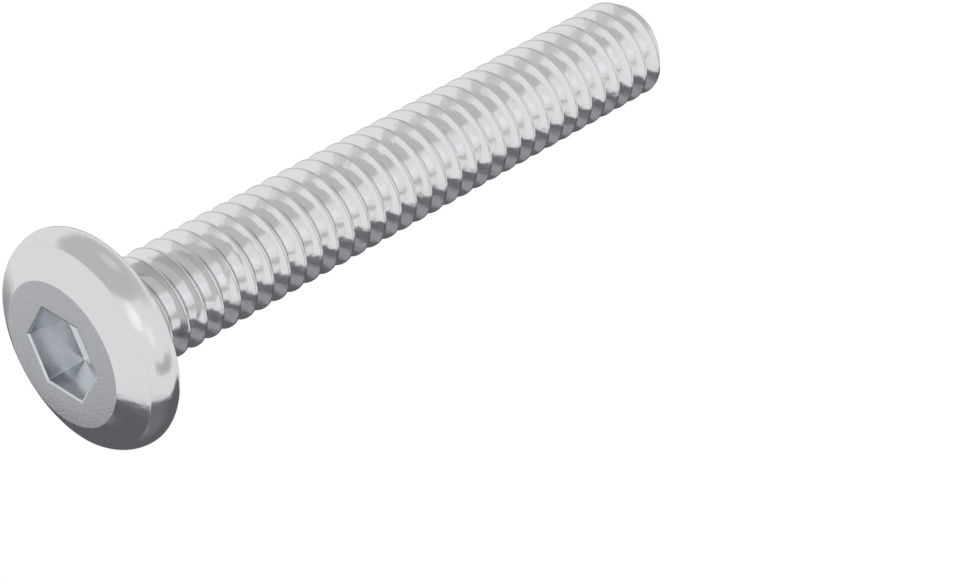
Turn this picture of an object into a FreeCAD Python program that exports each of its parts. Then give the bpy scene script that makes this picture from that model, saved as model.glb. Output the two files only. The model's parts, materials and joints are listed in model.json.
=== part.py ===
import FreeCAD, Part
import math
import os

import Sketcher

# Locking bolt: a low flat head with a conical chamfer and a rounded rim, a hexagon socket in the
# head's outer face, a short flared neck, and a straight shank that carries the thread.
# The bolt stands on its head. The origin is the centre of the head's flat outer face, +Z runs along
# the axis from the head to the tip, and two corners of the socket lie on the X axis.

# Driving sizes, in millimetres
SIZES = {
    # head, measured from its flat outer face
    "face_diameter": 8.78,
    "crease_diameter": 12.26,
    "crease_height": 1.03,
    "head_diameter": 13.1,
    "widest_height": 2.18,
    "head_height": 3.1,
    "bearing_diameter": 11.8,
    "bearing_bevel": 0.2,
    # hexagon socket
    "socket_across_flats": 4.76,
    "socket_depth": 2.7,
    "socket_bevel": 0.12,
    # neck, measured from the bearing face under the head
    "collar_diameter": 6.9,
    "collar_bevel": 0.15,
    "waist_diameter": 5.56,
    "neck_length": 2.0,
    "thread_start": 2.35,
    # shank, measured from the bearing face under the head
    "thread_diameter": 6.35,
    "shank_length": 43.65,
    # tip
    "tip_diameter": 4.54,
    "tip_chamfer_length": 0.85,
    "tip_rim_width": 0.07,
    "dish_floor_diameter": 3.6,
    "dish_depth": 0.37,
    "dish_fillet": 0.25,
}
HEXAGON_SIDES = 6
ORIGIN_POINT = (-1, 1)
X_AXIS_LINE = -1
Y_AXIS_LINE = -2
TOUCHING = 1e-6


def fill_sheet(doc):
    """The spreadsheet that holds every driving size under its own alias."""
    sheet = doc.addObject("Spreadsheet::Sheet", "sizes")
    for row, (alias, value) in enumerate(SIZES.items(), start=1):
        sheet.set(f"A{row}", alias)
        sheet.set(f"B{row}", str(value))
        sheet.setAlias(f"B{row}", alias)
    doc.recompute()
    return sheet


def new_sketch(body, name, role):
    """An empty sketch on one of the body's own origin planes."""
    plane = next(part for part in body.Origin.OriginFeatures if part.Role == role)
    sketch = body.newObject("Sketcher::SketchObject", name)
    sketch.AttachmentSupport = (plane, [""])
    sketch.MapMode = "FlatFace"
    return sketch


def bind(sketch, constraint, name, expression):
    """Add a constraint and tie its value to an expression of the sheet's sizes."""
    index = sketch.addConstraint(constraint)
    sketch.renameConstraint(index, name)
    sketch.setExpression(f"Constraints.{name}", expression)


def pin_corner(sketch, vertex, name, right, up):
    """Hold one vertex at the place that two expressions give, or on an axis where one is zero."""
    axes = (("DistanceX", right, Y_AXIS_LINE), ("DistanceY", up, X_AXIS_LINE))
    for kind, expression, axis_line in axes:
        value = sketch.evalExpression(expression)
        if expression == "0":
            sketch.addConstraint(Sketcher.Constraint("PointOnObject", *vertex, axis_line))
        else:
            bind(sketch, Sketcher.Constraint(kind, *ORIGIN_POINT, *vertex, value), f"{name}_{kind}", expression)


def arc_between(start, end, level):
    """An arc from start to end whose centre is level with the corner named by level.

    Returns the arc and the positions of its start and its end, because an arc always runs
    anticlockwise.
    """
    tangent, other = (start, end) if level == "start" else (end, start)
    across, rise = other.x - tangent.x, other.y - tangent.y
    centre = FreeCAD.Vector(tangent.x + (across * across + rise * rise) / (2 * across), tangent.y, 0)
    first, last = start - centre, end - centre
    anticlockwise = first.x * last.y - first.y * last.x > 0
    circle = Part.Circle(centre, FreeCAD.Vector(0, 0, 1), first.Length)
    angles = [math.atan2(ray.y, ray.x) for ray in (first, last)]
    if anticlockwise:
        return Part.ArcOfCircle(circle, angles[0], angles[1]), (1, 2)
    return Part.ArcOfCircle(circle, angles[1], angles[0]), (2, 1)


def draw_outline(body, name, corners, arcs):
    """A closed half-section on the XZ plane: corners as (name, right, up), joined in order.

    arcs gives, for the corner where an arc begins, which of its two ends its centre is level with.
    """
    sketch = new_sketch(body, name, "XZ_Plane")
    points = [
        FreeCAD.Vector(sketch.evalExpression(right), sketch.evalExpression(up), 0) for _, right, up in corners
    ]
    ends = []
    for index, (corner, _, _) in enumerate(corners):
        start, end = points[index], points[(index + 1) % len(points)]
        if corner in arcs:
            arc, positions = arc_between(start, end, arcs[corner])
            side = sketch.addGeometry(arc, False)
            level = positions[0] if arcs[corner] == "start" else positions[1]
            ends.append(((side, positions[0]), (side, positions[1])))
            sketch.addConstraint(Sketcher.Constraint("Horizontal", side, 3, side, level))
        else:
            side = sketch.addGeometry(Part.LineSegment(start, end), False)
            ends.append(((side, 1), (side, 2)))
    for index, (corner, right, up) in enumerate(corners):
        sketch.addConstraint(Sketcher.Constraint("Coincident", *ends[index - 1][1], *ends[index][0]))
        pin_corner(sketch, ends[index][0], corner, right, up)
    return sketch


def turn(body, kind, name, section):
    """A full turn of a half-section about the Z axis: a Revolution adds it and a Groove cuts it."""
    feature = body.newObject(f"PartDesign::{kind}", name)
    feature.Profile = section
    feature.ReferenceAxis = (section, ["V_Axis"])
    feature.Angle = 360
    return feature


def draw_hexagon(body, name):
    """The socket's outline on the XY plane, with two opposite corners on the X axis."""
    sketch = new_sketch(body, name, "XY_Plane")
    corner_radius = "sizes.socket_across_flats / sqrt(3)"
    radius = sketch.evalExpression(corner_radius)
    centre = FreeCAD.Vector(0, 0, 0)
    corners = [
        FreeCAD.Vector(
            radius * math.cos(2 * math.pi * index / HEXAGON_SIDES),
            radius * math.sin(2 * math.pi * index / HEXAGON_SIDES),
            0,
        )
        for index in range(HEXAGON_SIDES)
    ]
    for index in range(HEXAGON_SIDES):
        sketch.addGeometry(Part.LineSegment(corners[index], corners[(index + 1) % HEXAGON_SIDES]), False)
    ring = sketch.addGeometry(Part.Circle(centre, FreeCAD.Vector(0, 0, 1), radius), True)
    sketch.addConstraint(Sketcher.Constraint("Coincident", ring, 3, *ORIGIN_POINT))
    bind(sketch, Sketcher.Constraint("Radius", ring, radius), "corner_radius", corner_radius)
    for index in range(HEXAGON_SIDES):
        following = (index + 1) % HEXAGON_SIDES
        sketch.addConstraint(Sketcher.Constraint("Coincident", index, 2, following, 1))
        sketch.addConstraint(Sketcher.Constraint("PointOnObject", index, 1, ring))
        if following:
            sketch.addConstraint(Sketcher.Constraint("Equal", index, following))
    sketch.addConstraint(Sketcher.Constraint("PointOnObject", 0, 1, X_AXIS_LINE))
    return sketch


def edges_at_height(feature, height, kind):
    """The names of the feature's edges of one curve kind that lie wholly at one height."""
    return [
        f"Edge{number}"
        for number, edge in enumerate(feature.Shape.Edges, start=1)
        if edge.Curve.TypeId == kind
        and abs(edge.BoundBox.ZMin - height) < TOUCHING
        and abs(edge.BoundBox.ZMax - height) < TOUCHING
    ]


def add_head(body):
    """The head: flat face, conical chamfer, a fine crease, a rim of two tangent arcs, a bearing face."""
    section = draw_outline(
        body,
        "head_section",
        [
            ("face_centre", "0", "0"),
            ("face_edge", "sizes.face_diameter / 2", "0"),
            ("crease", "sizes.crease_diameter / 2", "sizes.crease_height"),
            ("widest", "sizes.head_diameter / 2", "sizes.widest_height"),
            (
                "rim_end",
                "sizes.bearing_diameter / 2 + sizes.bearing_bevel",
                "sizes.head_height - sizes.bearing_bevel / 2",
            ),
            ("bearing_edge", "sizes.bearing_diameter / 2", "sizes.head_height"),
            ("bearing_centre", "0", "sizes.head_height"),
        ],
        {"crease": "end", "widest": "start"},
    )
    return turn(body, "Revolution", "head", section)


def add_shank(body):
    """Neck and shank: a bevelled collar, a hollow flare to the waist, the thread's outside, the chamfer."""
    section = draw_outline(
        body,
        "shank_section",
        [
            ("root_centre", "0", "sizes.head_height"),
            ("collar_foot", "sizes.collar_diameter / 2 + sizes.collar_bevel", "sizes.head_height"),
            ("collar", "sizes.collar_diameter / 2", "sizes.head_height + sizes.collar_bevel"),
            ("waist", "sizes.waist_diameter / 2", "sizes.head_height + sizes.neck_length"),
            ("thread_foot", "sizes.thread_diameter / 2", "sizes.head_height + sizes.thread_start"),
            (
                "thread_top",
                "sizes.thread_diameter / 2",
                "sizes.head_height + sizes.shank_length - sizes.tip_chamfer_length",
            ),
            ("tip_edge", "sizes.tip_diameter / 2", "sizes.head_height + sizes.shank_length"),
            ("tip_centre", "0", "sizes.head_height + sizes.shank_length"),
        ],
        {"collar": "end"},
    )
    return turn(body, "Revolution", "shank", section)


def add_tip_dish(body):
    """The shallow dish in the tip: a sloping wall inside a thin rim, and a flat floor."""
    section = draw_outline(
        body,
        "dish_section",
        [
            ("mouth_centre", "0", "sizes.head_height + sizes.shank_length"),
            ("floor_centre", "0", "sizes.head_height + sizes.shank_length - sizes.dish_depth"),
            (
                "floor_edge",
                "sizes.dish_floor_diameter / 2",
                "sizes.head_height + sizes.shank_length - sizes.dish_depth",
            ),
            (
                "mouth_edge",
                "sizes.tip_diameter / 2 - sizes.tip_rim_width",
                "sizes.head_height + sizes.shank_length",
            ),
        ],
        {},
    )
    return turn(body, "Groove", "tip_dish", section)


def add_dish_fillet(body, dish, height):
    """The round between the dish's wall and its floor."""
    fillet = body.newObject("PartDesign::Fillet", "dish_fillet")
    fillet.Base = (dish, edges_at_height(dish, height, "Part::GeomCircle"))
    fillet.setExpression("Radius", "sizes.dish_fillet")
    return fillet


def add_socket(body):
    """The hexagon socket, cut upwards from the head's outer face."""
    socket = body.newObject("PartDesign::Pocket", "socket")
    socket.Profile = draw_hexagon(body, "socket_outline")
    socket.Reversed = True
    socket.setExpression("Length", "sizes.socket_depth")
    return socket


def add_socket_bevel(body, socket):
    """The small bevel round the socket's mouth."""
    bevel = body.newObject("PartDesign::Chamfer", "socket_bevel")
    bevel.Base = (socket, edges_at_height(socket, 0, "Part::GeomLine"))
    bevel.setExpression("Size", "sizes.socket_bevel")
    return bevel


def build_bolt(doc, sheet):
    """The whole bolt as one body."""
    body = doc.addObject("PartDesign::Body", "bolt")
    body.Label = "locking_bolt"
    add_head(body)
    shank = add_shank(body)
    doc.recompute()
    dish = add_tip_dish(body)
    doc.recompute()
    expect_less(dish, shank)
    add_dish_fillet(body, dish, sheet.head_height + sheet.shank_length - sheet.dish_depth)
    doc.recompute()
    socket = add_socket(body)
    doc.recompute()
    expect_less(socket, dish)
    add_socket_bevel(body, socket)
    doc.recompute()
    return body


def expect_less(cut, base):
    """A cut that points away from the solid takes nothing off, so the volume has to fall."""
    if not cut.Shape.Volume < base.Shape.Volume:
        raise RuntimeError(f"{cut.Name} cuts nothing")


def check(doc, bodies):
    """Every object is free of errors and every body is one valid solid."""
    for item in doc.Objects:
        if {"Invalid", "Error"} & set(item.State):
            raise RuntimeError(f"{item.Name} failed: {item.State}")
    for body in bodies:
        if body.Shape.isNull() or not body.Shape.isValid() or len(body.Shape.Solids) != 1:
            raise RuntimeError(f"{body.Label} is not one valid solid")


def main():
    doc = FreeCAD.newDocument("locking_bolt")
    sheet = fill_sheet(doc)
    bodies = [build_bolt(doc, sheet)]
    check(doc, bodies)
    os.makedirs("parts", exist_ok=True)
    for body in bodies:
        body.Shape.exportStep(f"parts/{body.Label}.step")
        print(body.Label, "volume", round(body.Shape.Volume, 2), "box", body.Shape.BoundBox)


main()
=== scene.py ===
import json
import math

import bmesh
import bpy
from mathutils import Matrix, Vector


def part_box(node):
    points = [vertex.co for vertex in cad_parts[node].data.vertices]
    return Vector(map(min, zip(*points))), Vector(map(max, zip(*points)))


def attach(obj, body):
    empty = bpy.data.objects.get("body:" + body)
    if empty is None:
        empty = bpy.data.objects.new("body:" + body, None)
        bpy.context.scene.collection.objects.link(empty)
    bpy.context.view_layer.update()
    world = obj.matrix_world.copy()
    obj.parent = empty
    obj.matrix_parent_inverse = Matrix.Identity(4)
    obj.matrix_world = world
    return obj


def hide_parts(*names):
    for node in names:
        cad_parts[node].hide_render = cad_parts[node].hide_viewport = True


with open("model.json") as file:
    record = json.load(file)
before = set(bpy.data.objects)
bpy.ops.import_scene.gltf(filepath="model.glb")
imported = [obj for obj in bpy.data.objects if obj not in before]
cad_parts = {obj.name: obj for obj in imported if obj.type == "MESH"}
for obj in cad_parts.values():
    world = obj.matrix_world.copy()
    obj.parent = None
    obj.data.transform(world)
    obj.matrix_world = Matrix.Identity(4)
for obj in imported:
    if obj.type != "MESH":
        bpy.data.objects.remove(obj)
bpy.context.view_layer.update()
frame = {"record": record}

# The bolt stands on its head at the origin, with its axis along +Z. Sizes are in millimetres, and
# heights start at the head's flat outer face unless a comment says otherwise.
MM = 0.001
NODE = "locking_bolt"
MOUNTS = {mount["name"]: mount for mount in frame["record"]["mounts"]}
HEAD_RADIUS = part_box(NODE)[1][0] / MM
TIP_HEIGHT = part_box(NODE)[1][2] / MM
BEARING_HEIGHT = MOUNTS["bearing_face"]["pos_m"][2] / MM
CREST_RADIUS = MOUNTS["shank"]["dims"]["r_mm"]

# head
FACE_RADIUS = 4.39
CREASE_RADIUS = 6.13
CREASE_HEIGHT = 1.03
WIDEST_HEIGHT = 2.18
BEARING_RADIUS = 5.9
BEARING_BEVEL = 0.2
FACE_EDGE_ROUND = 0.06
CREASE_BEAD_WIDTH = 0.13
CREASE_BEAD_HEIGHT = 0.028
FINE_ROUND = 0.05

# hexagon socket
SOCKET_ACROSS_FLATS = 4.76
SOCKET_DEPTH = 2.7
SOCKET_BEVEL = 0.12
SOCKET_CORNER_ROUND = 0.07
SOCKET_FLOOR_ROUND = 0.06
SOCKET_MOUTH_RING = SOCKET_ACROSS_FLATS + 3 * SOCKET_BEVEL

# neck, with heights above the bearing face
COLLAR_RADIUS = 3.45
COLLAR_BEVEL = 0.15
WAIST_RADIUS = 2.78
NECK_START = 3 * COLLAR_BEVEL
NECK_LENGTH = 2.0
THREAD_FADE_START = 1.2
THREAD_FADE_END = 2.0

# thread: flanks that open at seventy degrees, with narrow flats on the crests and in the roots
PITCH = 1.27
CREST_PHASE = 0.78
THREAD_DEPTH = 0.6 * PITCH
CREST_HALF_WIDTH = PITCH / 24
FLANK_SLOPE = math.tan(math.radians(55))
CREST_ROUND = 0.03
ROOT_ROUND = 0.085

# tip
TIP_RADIUS = 2.27
TIP_CHAMFER_LENGTH = 0.85
TIP_RIM_WIDTH = 0.07
DISH_FLOOR_RADIUS = 1.8
DISH_DEPTH = 0.37
DISH_ROUND = 0.25
CHAMFER_BLEND = 0.03
PLAIN_TIP_LENGTH = 0.3

# mesh density
AROUND = 120
HEXAGON_SIDES = 6
CORNER_STEPS = 4
THREAD_CORNER_STEPS = 3
LONG_ARC_STEPS = 16
SHARP_EDGE = math.radians(32)
LEAST_ROW_GAP = 0.01
SAME_HEIGHT = 1e-6

# camera, fitted to the photo's thread crests and head circles
PHOTO_WIDTH = 973
FOCAL_PIXELS = 3316.8
SENSOR_WIDTH = 36.0
CAMERA_AIM = Vector((8.42, -2.31, 26.99))
CAMERA_DISTANCE = 195.3
CAMERA_AZIMUTH = math.radians(-15.32)
CAMERA_ELEVATION = math.radians(-37.34)
CAMERA_ROLL = math.radians(59.3)
CAMERA_NEAR = 1
CAMERA_FAR = 10000

# floor, in metres apart from the drop
FLOOR_RADIUS = 1.0
FLOOR_DROP = 0.02
FLOOR_FADE_START = 0.05
FLOOR_FADE_END = 0.3
FLOOR_SIDES = 64
FLOOR_GREY = 0.62
FLOOR_GLOW = 0.5

# metal. A finish is a colour, a roughness, the grain's share in both of them, and the heights of the
# grain and of the waves in metres.
WAVE_SCALE = 700
GRAIN_SCALE = 6000
NOISE_RANGE = (0.3, 0.7)
FINISHES = {
    "bright_zinc": ((0.9, 0.91, 0.92), 0.13, 0.012, 1e-6, 2.5e-5),
    "faced_zinc": ((0.69, 0.697, 0.72), 0.22, 0.06, 8e-6, 0),
    "socket_zinc": ((0.85, 0.88, 0.91), 0.21, 0.06, 0, 0),
    "cut_steel": ((0.34, 0.34, 0.35), 0.45, 0.2, 3e-5, 0),
    # the thread's zinc is painted lighter than the head's to offset the shade of reflections between its
    # turns
    "thread_zinc_painted_light": ((0.96, 0.965, 0.975), 0.155, 0.012, 1e-6, 7e-5),
    "bearing_zinc": ((0.66, 0.665, 0.675), 0.26, 0.04, 8e-6, 0),
    # the socket's floor: zinc painted brighter than the walls, a painted highlight
    "socket_floor_painted_highlight": ((0.98, 0.985, 0.99), 0.28, 0.02, 0, 0),
}
ZONES = {name: index for index, name in enumerate(FINISHES)}

# painted shade on the thread, a darker band in the roots and a fainter dark line along the crests: its
# heights are measured from the root and down from the crest
ROOT_PAINTED_BAND = 0.04
ROOT_SHADE = 0.5
CREST_PAINTED_BAND = 0.06
CREST_UNPAINTED = 0.006
CREST_SHADE = 0.7

# studio: round panels on a pale tent, each as (turn, rise, half-angle, soft edge, level) with angles in
# degrees from the photo's camera. Later panels cover earlier ones.
TENT_LEVEL = 0.75
TENT_COLOUR = (0.99, 0.995, 1)
TABLE_COLOUR = (0.88, 0.92, 1)
PALE_LEVEL = 0.5
PANELS = [
    (60, 75, 30, 25, 0.53),
    (-20, 60, 42, 10, 0.5),
    (24, 71, 3, 15, 0.62),
    (-58, 18, 2, 14, 0.54),
    (9, 0, 5, 14, 0.96),
    (38, -10, 3, 12, 0.87),
    (44, -39, 1, 8, 0.5),
    (56, -36, 1, 8, 0.44),
    (68, -30, 1, 8, 0.42),
    (78, -22, 2, 9, 0.42),
    (88, -16, 1, 8, 0.5),
    (97, -9, 1, 8, 0.55),
    (-108, -29, 12, 10, 0.6),
    (180, 8, 6, 14, 0.3),
    (-150, -14, 5, 20, 0.3),
    (-177, -52, 48.5, 2, 0.12),
    (150, -38, 30, 3, 0.12),
    (150, -72, 6, 26, 0.17),
    (-145, -66, 5, 12, 0.3),
]


def arc_points(start, end, centre, steps=LONG_ARC_STEPS):
    """Points on the short arc from start to end, without the start."""
    first, last = start - centre, end - centre
    sweep = math.atan2(first.x * last.y - first.y * last.x, first.dot(last))
    turns = [Matrix.Rotation(sweep * step / steps, 2) for step in range(1, steps + 1)]
    return [centre + turn @ first for turn in turns]


def rounded(corners, steps=CORNER_STEPS):
    """A polyline with its corners rounded. Each corner is (point, radius), and radius 0 stays sharp."""
    points = []
    for index, (corner, radius) in enumerate(corners):
        if radius == 0 or index in (0, len(corners) - 1):
            points.append(corner)
            continue
        back = (corners[index - 1][0] - corner).normalized()
        ahead = (corners[index + 1][0] - corner).normalized()
        half = back.angle(ahead) / 2
        reach = radius / math.tan(half)
        centre = corner + (back + ahead).normalized() * radius / math.sin(half)
        start = corner + back * reach
        points.append(start)
        points += arc_points(start, corner + ahead * reach, centre, steps)
    return points


def level_arc(start, end, level):
    """The arc from start to end whose centre is level with the given one of them."""
    other = end if level is start else start
    across, rise = other.x - level.x, other.y - level.y
    centre = Vector((level.x + (across * across + rise * rise) / (2 * across), level.y))
    return arc_points(start, end, centre)


def head_profile():
    """The head's outside as (radius, height), from the flat face's edge to the start of the neck."""
    crease = Vector((CREASE_RADIUS, CREASE_HEIGHT))
    widest = Vector((HEAD_RADIUS, WIDEST_HEIGHT))
    bevel_out = Vector((BEARING_RADIUS + BEARING_BEVEL, BEARING_HEIGHT - BEARING_BEVEL / 2))
    bevel_in = Vector((BEARING_RADIUS, BEARING_HEIGHT))
    collar_foot = Vector((COLLAR_RADIUS + COLLAR_BEVEL, BEARING_HEIGHT))
    face_side = level_arc(crease, widest, widest)
    bearing_side = level_arc(widest, bevel_out, widest)
    chamfer = (crease - Vector((FACE_RADIUS, 0))).normalized()
    outward = Vector((chamfer.y, -chamfer.x))
    bead_foot = crease - chamfer * CREASE_BEAD_WIDTH
    bead_top = bead_foot.lerp(crease, 0.5) + outward * CREASE_BEAD_HEIGHT
    corners = [(Vector((0, 0)), 0), (Vector((FACE_RADIUS, 0)), FACE_EDGE_ROUND), (bead_foot, 0)]
    corners += [(bead_top, CREASE_BEAD_HEIGHT), (crease, 0)]
    corners += [(point, 0) for point in face_side + bearing_side[:-1]]
    corners += [(bevel_out, FINE_ROUND), (bevel_in, FINE_ROUND), (collar_foot, FINE_ROUND)]
    collar = Vector((COLLAR_RADIUS, BEARING_HEIGHT + COLLAR_BEVEL))
    neck_start = Vector((neck_radius(NECK_START), BEARING_HEIGHT + NECK_START))
    corners += [(collar, FINE_ROUND), (neck_start, 0)]
    return rounded(corners)[1:]


def neck_radius(above):
    """The blank's radius at a height above the bearing face: a hollow flare, then the waist."""
    across, rise = COLLAR_RADIUS - WAIST_RADIUS, NECK_LENGTH - COLLAR_BEVEL
    flare = (across * across + rise * rise) / (2 * across)
    short = NECK_LENGTH - above
    if short <= 0:
        return WAIST_RADIUS
    return WAIST_RADIUS + flare - math.sqrt(flare * flare - short * short)


def thread_rows():
    """One pitch of the thread as (offset from the crest in pitches, radius), from root to root."""
    root_radius = CREST_RADIUS - THREAD_DEPTH
    root_edge = CREST_HALF_WIDTH + THREAD_DEPTH / FLANK_SLOPE
    corners = [
        (Vector((-PITCH / 2, root_radius)), 0),
        (Vector((-root_edge, root_radius)), ROOT_ROUND),
        (Vector((-(root_edge + CREST_HALF_WIDTH) / 2, (root_radius + CREST_RADIUS) / 2)), 0),
        (Vector((-CREST_HALF_WIDTH, CREST_RADIUS)), CREST_ROUND),
        (Vector((CREST_HALF_WIDTH, CREST_RADIUS)), CREST_ROUND),
        (Vector(((root_edge + CREST_HALF_WIDTH) / 2, (root_radius + CREST_RADIUS) / 2)), 0),
        (Vector((root_edge, root_radius)), ROOT_ROUND),
        (Vector((PITCH / 2, root_radius)), 0),
    ]
    return [(point.x / PITCH, point.y) for point in rounded(corners, THREAD_CORNER_STEPS)[:-1]]


def smooth_step(value, low, high):
    """0 below low, 1 above high and a smooth rise between them."""
    share = min(max((value - low) / (high - low), 0), 1)
    return share * share * (3 - 2 * share)


def soft_least(first, second, blend):
    """The smaller of two values, with a soft change from one to the other."""
    gap = first - second
    return (first + second - math.sqrt(gap * gap + blend * blend)) / 2


def shank_radius(form_radius, height):
    """The threaded shank's radius: the thread fades into the neck and is chamfered at the tip."""
    above = height - BEARING_HEIGHT
    fade = smooth_step(above, THREAD_FADE_START, THREAD_FADE_END)
    radius = neck_radius(above) + fade * (form_radius - WAIST_RADIUS)
    chamfer_slope = (CREST_RADIUS - TIP_RADIUS) / TIP_CHAMFER_LENGTH
    return soft_least(radius, TIP_RADIUS + (TIP_HEIGHT - height) * chamfer_slope, CHAMFER_BLEND)


def add_ring(mesh, radius, height):
    """A circle of vertices round the axis."""
    angles = [2 * math.pi * index / AROUND for index in range(AROUND)]
    return [
        mesh.verts.new((radius * math.cos(angle) * MM, radius * math.sin(angle) * MM, height * MM))
        for angle in angles
    ]


def hexagon_outline(across_flats):
    """The socket's outline with rounded corners, one of them on +X, as AROUND points."""
    inner_corner = (across_flats / 2 - SOCKET_CORNER_ROUND) / math.cos(math.pi / HEXAGON_SIDES)
    per_side = AROUND // HEXAGON_SIDES
    straight_steps = per_side - CORNER_STEPS
    points = []
    for side in range(HEXAGON_SIDES):
        middle = 2 * math.pi * side / HEXAGON_SIDES
        half_turn = math.pi / HEXAGON_SIDES
        arc = []
        for step in range(CORNER_STEPS + 1):
            angle = middle + half_turn * (2 * step / CORNER_STEPS - 1)
            centre = Vector((math.cos(middle), math.sin(middle))) * inner_corner
            arc.append(centre + Vector((math.cos(angle), math.sin(angle))) * SOCKET_CORNER_ROUND)
        points += arc
        next_start = Matrix.Rotation(2 * half_turn, 2) @ arc[0]
        points += [arc[-1].lerp(next_start, step / straight_steps) for step in range(1, straight_steps)]
    middle_of_arc = CORNER_STEPS // 2
    return points[middle_of_arc:] + points[:middle_of_arc]


def add_hexagon(mesh, across_flats, height):
    """The socket's outline as vertices at one height."""
    outline = hexagon_outline(across_flats)
    return [mesh.verts.new((point.x * MM, point.y * MM, height * MM)) for point in outline]


def bridge(mesh, inner, outer, zone):
    """Quads between two rings of the same count."""
    for index in range(len(inner)):
        following = (index + 1) % len(inner)
        face = mesh.faces.new((inner[index], inner[following], outer[following], outer[index]))
        face.material_index = zone


def close_ring(mesh, ring, height, zone):
    """Triangles from a ring to a vertex on the axis."""
    centre = mesh.verts.new((0, 0, height * MM))
    for index in range(len(ring)):
        face = mesh.faces.new((ring[index], ring[(index + 1) % len(ring)], centre))
        face.material_index = zone


def add_head(mesh):
    """The head from the floor of the socket to the neck. Returns the ring where the neck begins."""
    wall = SOCKET_ACROSS_FLATS
    mouth = add_hexagon(mesh, SOCKET_MOUTH_RING, 0)
    rings = []
    for step in range(CORNER_STEPS + 1):
        angle = math.pi / 2 * step / CORNER_STEPS
        across = wall + 2 * SOCKET_BEVEL * (1 - math.sin(angle))
        rings.append(add_hexagon(mesh, across, SOCKET_BEVEL * (1 - math.cos(angle))))
    rings += [
        add_hexagon(mesh, wall, SOCKET_DEPTH - SOCKET_FLOOR_ROUND),
        add_hexagon(mesh, wall - SOCKET_FLOOR_ROUND, SOCKET_DEPTH - SOCKET_FLOOR_ROUND / 4),
        add_hexagon(mesh, wall - 2 * SOCKET_FLOOR_ROUND, SOCKET_DEPTH),
    ]
    outer = mouth
    for index, ring in enumerate(rings):
        bridge(mesh, outer, ring, ZONES["faced_zinc"] if index == 0 else ZONES["socket_zinc"])
        outer = ring
    # the socket's floor carries the painted highlight
    close_ring(mesh, outer, SOCKET_DEPTH, ZONES["socket_floor_painted_highlight"])

    last = mouth
    for point in head_profile():
        ring = add_ring(mesh, point.x, point.y)
        zone = "bright_zinc"
        if last is mouth:
            zone = "faced_zinc"
        elif abs(point.y - BEARING_HEIGHT) < SAME_HEIGHT and point.x < BEARING_RADIUS - FINE_ROUND:
            zone = "bearing_zinc"
        bridge(mesh, last, ring, ZONES[zone])
        last = ring
    return last


def add_thread(mesh, first_ring, start, end):
    """The threaded shank as one helical strip between two levels. Returns its last ring."""
    rows = thread_rows()
    last_ring = add_ring(mesh, shank_radius(CREST_RADIUS, end), end)
    lowest = math.floor((start - BEARING_HEIGHT) / PITCH) - 1
    highest = math.ceil((end - BEARING_HEIGHT) / PITCH) + 1
    count = (highest - lowest) * len(rows)

    def column(index):
        """The vertices of one column, with those past either level drawn onto its ring."""
        share = index / AROUND
        angle = 2 * math.pi * share
        place = index % AROUND
        made = []
        for row in range(count):
            offset, form_radius = rows[row % len(rows)]
            height = BEARING_HEIGHT + PITCH * (lowest + CREST_PHASE + row // len(rows) + offset + share)
            if height < start + LEAST_ROW_GAP:
                made.append(first_ring[place])
            elif height > end - LEAST_ROW_GAP:
                made.append(last_ring[place])
            else:
                radius = shank_radius(form_radius, height)
                spot = (radius * math.cos(angle) * MM, radius * math.sin(angle) * MM, height * MM)
                made.append(mesh.verts.new(spot))
        return made

    columns = [column(index) for index in range(AROUND)]
    wrapped = columns[0][len(rows):] + [last_ring[0]] * len(rows)
    for index, left in enumerate(columns):
        right = columns[index + 1] if index + 1 < AROUND else wrapped
        for row in range(count - 1):
            corners = list(dict.fromkeys((left[row], right[row], right[row + 1], left[row + 1])))
            if len(corners) > 2:
                top = max(corner.co.z for corner in corners) / MM
                # the thread's faces take the zinc that is painted lighter, the plain tip end the head's
                # zinc
                zone = "thread_zinc_painted_light" if top < TIP_HEIGHT - PLAIN_TIP_LENGTH else "bright_zinc"
                mesh.faces.new(corners).material_index = ZONES[zone]
    return last_ring


def add_tip(mesh, rim_ring):
    """The thin rim, the sloping wall of the dish and its flat floor."""
    floor_height = TIP_HEIGHT - DISH_DEPTH
    profile = rounded(
        [
            (Vector((TIP_RADIUS, TIP_HEIGHT)), 0),
            (Vector((TIP_RADIUS - TIP_RIM_WIDTH, TIP_HEIGHT)), TIP_RIM_WIDTH / 3),
            (Vector((DISH_FLOOR_RADIUS, floor_height)), DISH_ROUND),
            (Vector((0, floor_height)), 0),
        ]
    )
    last = rim_ring
    for point in profile[1:-1]:
        ring = add_ring(mesh, point.x, point.y)
        bridge(mesh, last, ring, ZONES["bright_zinc"])
        last = ring
    inner = add_ring(mesh, DISH_FLOOR_RADIUS / 2, floor_height)
    bridge(mesh, last, inner, ZONES["cut_steel"])
    close_ring(mesh, inner, floor_height, ZONES["cut_steel"])


def make_bolt(materials):
    """The whole bolt as one closed mesh, with its finishes by zone."""
    mesh = bmesh.new()
    neck_ring = add_head(mesh)
    neck_height = neck_ring[0].co.z / MM
    tip_ring = add_thread(mesh, neck_ring, neck_height, TIP_HEIGHT)
    add_tip(mesh, tip_ring)
    bmesh.ops.recalc_face_normals(mesh, faces=mesh.faces)
    data = bpy.data.meshes.new("threaded_bolt")
    mesh.to_mesh(data)
    mesh.free()
    data.shade_smooth()
    data.set_sharp_from_angle(angle=SHARP_EDGE)
    for material in materials:
        data.materials.append(material)
    bolt = bpy.data.objects.new("threaded_bolt", data)
    bpy.context.collection.objects.link(bolt)
    return bolt


def add_spread(material, noise, middle, share):
    """The noise as a value that varies about the middle by the given share."""
    spread = material.node_tree.nodes.new("ShaderNodeMapRange")
    spread.inputs["From Min"].default_value = NOISE_RANGE[0]
    spread.inputs["From Max"].default_value = NOISE_RANGE[1]
    spread.inputs["To Min"].default_value = middle * (1 - share)
    spread.inputs["To Max"].default_value = middle * (1 + share)
    material.node_tree.links.new(noise.outputs["Fac"], spread.inputs["Value"])
    return spread.outputs["Result"]


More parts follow.
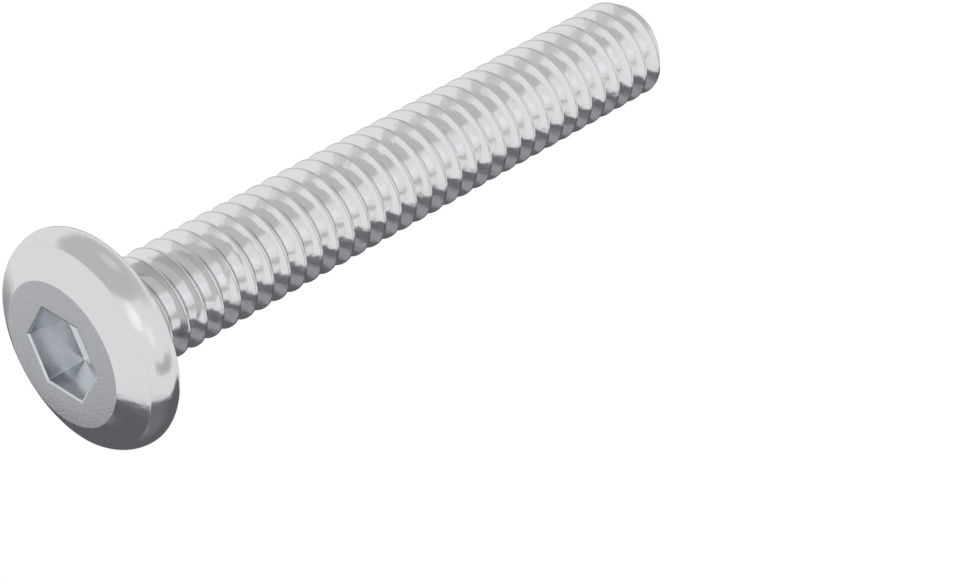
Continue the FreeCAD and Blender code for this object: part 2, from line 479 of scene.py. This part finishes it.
def make_metal(name):
    """A metal with the finish of that name, with waves and grain in its surface."""
    colour, roughness, share, grain, waves = FINISHES[name]
    material = bpy.data.materials.new(name)
    material.use_nodes = True
    nodes, links = material.node_tree.nodes, material.node_tree.links
    shader = nodes["Principled BSDF"]
    shader.inputs["Metallic"].default_value = 1
    place = nodes.new("ShaderNodeTexCoord")
    normal = None
    for scale, height in ((WAVE_SCALE, waves), (GRAIN_SCALE, grain)):
        noise = nodes.new("ShaderNodeTexNoise")
        noise.inputs["Scale"].default_value = scale
        links.new(place.outputs["Object"], noise.inputs["Vector"])
        bump = nodes.new("ShaderNodeBump")
        bump.inputs["Distance"].default_value = height
        links.new(noise.outputs["Fac"], bump.inputs["Height"])
        if normal:
            links.new(normal, bump.inputs["Normal"])
        normal = bump.outputs["Normal"]
    links.new(normal, shader.inputs["Normal"])
    links.new(add_spread(material, noise, roughness, share), shader.inputs["Roughness"])
    tint = nodes.new("ShaderNodeVectorMath")
    tint.name = "tint"
    tint.operation = "SCALE"
    tint.inputs[0].default_value = colour
    links.new(add_spread(material, noise, 1, share), tint.inputs["Scale"])
    links.new(tint.outputs["Vector"], shader.inputs["Base Color"])
    return material


def add_thread_painted_shade(material):
    """Painted shade on the thread: a darker band in its roots and a fainter dark line along its crests, by
    distance from the axis.
    """
    nodes, links = material.node_tree.nodes, material.node_tree.links
    place = nodes.new("ShaderNodeTexCoord")
    across = nodes.new("ShaderNodeVectorMath")
    across.operation = "MULTIPLY"
    across.inputs[1].default_value = (1, 1, 0)
    links.new(place.outputs["Object"], across.inputs[0])
    radius = nodes.new("ShaderNodeVectorMath")
    radius.operation = "LENGTH"
    links.new(across.outputs["Vector"], radius.inputs[0])
    height = nodes.new("ShaderNodeMapRange")
    height.inputs["From Min"].default_value = (CREST_RADIUS - THREAD_DEPTH) * MM
    height.inputs["From Max"].default_value = CREST_RADIUS * MM
    links.new(radius.outputs["Value"], height.inputs["Value"])
    # the painted shade's level at each height: darker in the roots, a faint dark line near the crest, none
    # on the crest itself
    painted_shade = nodes.new("ShaderNodeValToRGB")
    stops = painted_shade.color_ramp.elements
    stops[0].color = (ROOT_SHADE, ROOT_SHADE, ROOT_SHADE, 1)
    for depth, shade in (
        (THREAD_DEPTH - ROOT_PAINTED_BAND, 1),
        (CREST_PAINTED_BAND, 1),
        (CREST_PAINTED_BAND / 2, CREST_SHADE),
        (CREST_UNPAINTED, CREST_SHADE),
    ):
        stops.new(1 - depth / THREAD_DEPTH).color = (shade, shade, shade, 1)
    links.new(height.outputs["Result"], painted_shade.inputs["Fac"])
    shaded_tint = nodes.new("ShaderNodeVectorMath")
    shaded_tint.operation = "SCALE"
    links.new(nodes["tint"].outputs["Vector"], shaded_tint.inputs[0])
    links.new(painted_shade.outputs["Color"], shaded_tint.inputs["Scale"])
    links.new(shaded_tint.outputs["Vector"], nodes["Principled BSDF"].inputs["Base Color"])


def camera_axes():
    """The camera's right, up and back: below the bolt's head, rolled so that the axis rises right."""
    back = Vector(
        (
            math.sin(CAMERA_AZIMUTH) * math.cos(CAMERA_ELEVATION),
            -math.cos(CAMERA_AZIMUTH) * math.cos(CAMERA_ELEVATION),
            math.sin(CAMERA_ELEVATION),
        )
    )
    level_right = Vector((0, 0, 1)).cross(back).normalized()
    level_up = back.cross(level_right)
    right = level_right * math.cos(CAMERA_ROLL) + level_up * math.sin(CAMERA_ROLL)
    return right, back.cross(right), back


def make_camera():
    """The camera at the photo's place."""
    right, up, back = camera_axes()
    camera = bpy.data.objects.new("camera", bpy.data.cameras.new("camera"))
    bpy.context.collection.objects.link(camera)
    turn = Matrix((right, up, back)).transposed().to_4x4()
    camera.matrix_world = Matrix.Translation((CAMERA_AIM + back * CAMERA_DISTANCE) * MM) @ turn
    camera.data.sensor_width = SENSOR_WIDTH
    camera.data.lens = FOCAL_PIXELS / PHOTO_WIDTH * SENSOR_WIDTH
    camera.data.clip_start = CAMERA_NEAR * MM
    camera.data.clip_end = CAMERA_FAR * MM
    bpy.context.scene.camera = camera


def studio_direction(turn, rise):
    """A direction from the bolt: turn is to the right of the photo's camera, and rise is up in its view."""
    right, up, back = camera_axes()
    turn, rise = math.radians(turn), math.radians(rise)
    level = right * math.sin(turn) + back * math.cos(turn)
    return level * math.cos(rise) + up * math.sin(rise)


def add_panels(nodes, links):
    """The studio's level in each direction: the tent, with the panels over it one after another."""
    place = nodes.new("ShaderNodeTexCoord")
    last = None
    for turn, rise, reach, edge, level in PANELS:
        facing = nodes.new("ShaderNodeVectorMath")
        facing.operation = "DOT_PRODUCT"
        links.new(place.outputs["Generated"], facing.inputs[0])
        facing.inputs[1].default_value = studio_direction(turn, rise)
        inside = nodes.new("ShaderNodeMapRange")
        inside.interpolation_type = "SMOOTHSTEP"
        inside.inputs["From Min"].default_value = math.cos(math.radians(reach + edge))
        inside.inputs["From Max"].default_value = math.cos(math.radians(reach))
        links.new(facing.outputs["Value"], inside.inputs["Value"])
        mix = nodes.new("ShaderNodeMix")
        mix.inputs["A"].default_value = TENT_LEVEL
        mix.inputs["B"].default_value = level
        links.new(inside.outputs["Result"], mix.inputs["Factor"])
        if last:
            links.new(last.outputs["Result"], mix.inputs["A"])
        last = mix
    return last.outputs["Result"]


def make_world():
    """White for the camera. For the metal, a pale tent with soft panels over a dark table."""
    world = bpy.data.worlds.new("studio")
    bpy.context.scene.world = world
    world.use_nodes = True
    nodes, links = world.node_tree.nodes, world.node_tree.links
    level = add_panels(nodes, links)
    light = nodes.new("ShaderNodeBackground")
    hue = nodes.new("ShaderNodeValToRGB")
    hue.color_ramp.elements[0].color = (*TABLE_COLOUR, 1)
    hue.color_ramp.elements[1].color = (*TENT_COLOUR, 1)
    hue.color_ramp.elements[1].position = PALE_LEVEL
    links.new(level, hue.inputs["Fac"])
    links.new(hue.outputs["Color"], light.inputs["Color"])
    links.new(level, light.inputs["Strength"])
    seen = nodes["Background"]
    seen.inputs["Color"].default_value = (1, 1, 1, 1)
    path = nodes.new("ShaderNodeLightPath")
    choose = nodes.new("ShaderNodeMixShader")
    links.new(path.outputs["Is Camera Ray"], choose.inputs["Fac"])
    links.new(light.outputs["Background"], choose.inputs[1])
    links.new(seen.outputs["Background"], choose.inputs[2])
    links.new(choose.outputs["Shader"], nodes["World Output"].inputs["Surface"])


def floor_material():
    """Pale grey that fades to white with distance and is clear from below."""
    material = bpy.data.materials.new("floor")
    material.use_nodes = True
    nodes, links = material.node_tree.nodes, material.node_tree.links
    nodes.remove(nodes["Principled BSDF"])
    place = nodes.new("ShaderNodeTexCoord")
    distance = nodes.new("ShaderNodeVectorMath")
    distance.operation = "LENGTH"
    links.new(place.outputs["Object"], distance.inputs[0])
    fade = nodes.new("ShaderNodeMapRange")
    fade.interpolation_type = "SMOOTHSTEP"
    fade.inputs["From Min"].default_value = FLOOR_FADE_START
    fade.inputs["From Max"].default_value = FLOOR_FADE_END
    links.new(distance.outputs["Value"], fade.inputs["Value"])
    matt = nodes.new("ShaderNodeBsdfDiffuse")
    matt.inputs["Color"].default_value = (FLOOR_GREY, FLOOR_GREY, FLOOR_GREY, 1)
    glow = nodes.new("ShaderNodeEmission")
    glow.inputs["Strength"].default_value = FLOOR_GLOW
    both = nodes.new("ShaderNodeAddShader")
    links.new(matt.outputs["BSDF"], both.inputs[0])
    links.new(glow.outputs["Emission"], both.inputs[1])
    white = nodes.new("ShaderNodeEmission")
    faded = nodes.new("ShaderNodeMixShader")
    links.new(fade.outputs["Result"], faded.inputs["Fac"])
    links.new(both.outputs["Shader"], faded.inputs[1])
    links.new(white.outputs["Emission"], faded.inputs[2])
    geometry = nodes.new("ShaderNodeNewGeometry")
    clear = nodes.new("ShaderNodeBsdfTransparent")
    sided = nodes.new("ShaderNodeMixShader")
    links.new(geometry.outputs["Backfacing"], sided.inputs["Fac"])
    links.new(faded.outputs["Shader"], sided.inputs[1])
    links.new(clear.outputs["BSDF"], sided.inputs[2])
    links.new(sided.outputs["Shader"], nodes["Material Output"].inputs["Surface"])
    return material


def make_floor():
    """A wide round floor that shows the bolt's shadow and casts nothing onto the bolt."""
    mesh = bmesh.new()
    bmesh.ops.create_circle(mesh, cap_ends=True, segments=FLOOR_SIDES, radius=FLOOR_RADIUS)
    data = bpy.data.meshes.new("floor")
    mesh.to_mesh(data)
    mesh.free()
    data.materials.append(floor_material())
    floor = bpy.data.objects.new("floor", data)
    floor.location.z = -FLOOR_DROP * MM
    bpy.context.collection.objects.link(floor)
    floor.visible_diffuse = False
    floor.visible_glossy = False
    floor.visible_transmission = False
    floor.visible_shadow = False


make_camera()
make_world()
make_floor()
finishes = [make_metal(name) for name in FINISHES]
# the thread's zinc gets painted shade in its roots and painted dark lines along its crests
add_thread_painted_shade(finishes[ZONES["thread_zinc_painted_light"]])
bolt = make_bolt(finishes)
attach(bolt, "root")
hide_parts(NODE)

bpy.context.scene.view_settings.view_transform = "Standard"
